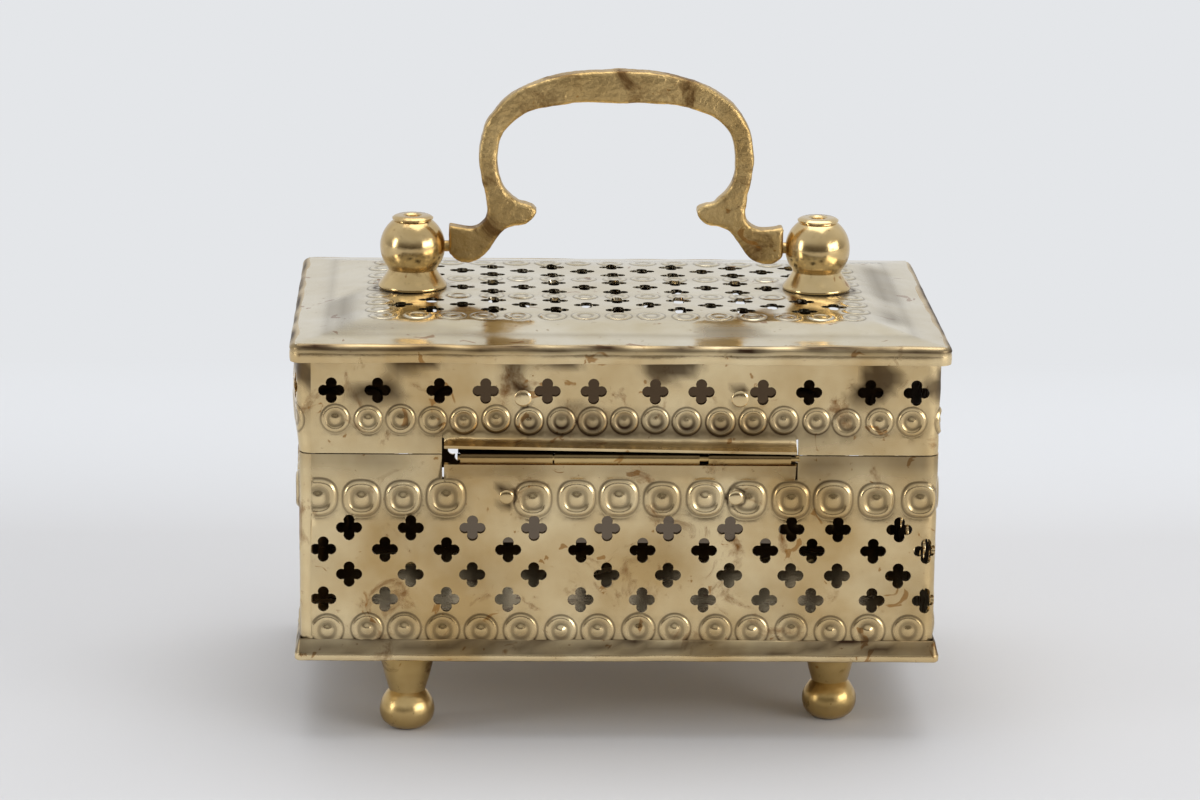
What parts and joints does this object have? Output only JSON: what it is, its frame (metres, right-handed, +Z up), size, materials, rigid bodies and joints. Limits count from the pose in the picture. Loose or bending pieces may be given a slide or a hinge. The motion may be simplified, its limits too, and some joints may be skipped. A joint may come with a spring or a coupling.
{
  "type": "pierced sheet-metal cricket box",
  "caption": "Footed rectangular box of pierced sheet brass with a hinged lid, a swinging bail handle on turned posts and a front hook.",
  "frame": {"origin": "middle of the floor that the feet stand on", "axes": "+X along the box, -Y towards the hinge side, +Z up"},
  "size_m": [0.115, 0.0784, 0.1138],
  "materials": {
    "brass_sheet": "aged, stained sheet",
    "brass_cast": "rough cast, dull",
    "brass_turned": "turned, satin",
    "brass_fittings": "dull, tarnished"
  },
  "bodies": {
    "base": {"base_wall_rear": "brass_sheet", "base_wall_front": "brass_sheet", "base_wall_left": "brass_sheet", "base_wall_right": "brass_sheet", "base_floor": "brass_sheet", "base_skirt": "brass_sheet", "foot_rear_left": "brass_turned", "foot_rear_right": "brass_turned", "foot_front_left": "brass_turned", "foot_front_right": "brass_turned", "hinge_leaf_base": "brass_fittings", "hinge_pin": "brass_fittings", "rivet_base_left": "brass_fittings", "rivet_base_right": "brass_fittings", "catch_stud": "brass_fittings"},
    "lid": {"lid_wall_rear": "brass_sheet", "lid_wall_front": "brass_sheet", "lid_wall_left": "brass_sheet", "lid_wall_right": "brass_sheet", "lid_top": "brass_sheet", "lid_hem": "brass_sheet", "post_left": "brass_turned", "post_right": "brass_turned", "hinge_leaf_lid": "brass_fittings", "rivet_lid_left": "brass_fittings", "rivet_lid_right": "brass_fittings", "catch_rivet": "brass_fittings"},
    "handle": {"handle": "brass_cast"},
    "hook": {"catch_hook": "brass_fittings"}
  },
  "joints": [
    {"name": "lid_hinge", "type": "hinge", "parent": "base", "child": "lid", "pos_m": [0, -0.0375, 0.0517], "axis": [1, 0, 0], "range_deg": [0, 100]},
    {"name": "handle_swing", "type": "hinge", "parent": "lid", "child": "handle", "pos_m": [0, 0, 0.08135], "axis": [1, 0, 0], "range_deg": [-96, 96]},
    {"name": "hook_turn", "type": "hinge", "parent": "lid", "child": "hook", "pos_m": [-0.008, 0.0368, 0.0575], "axis": [0, -1, 0], "range_deg": [0, 35]}
  ]
}
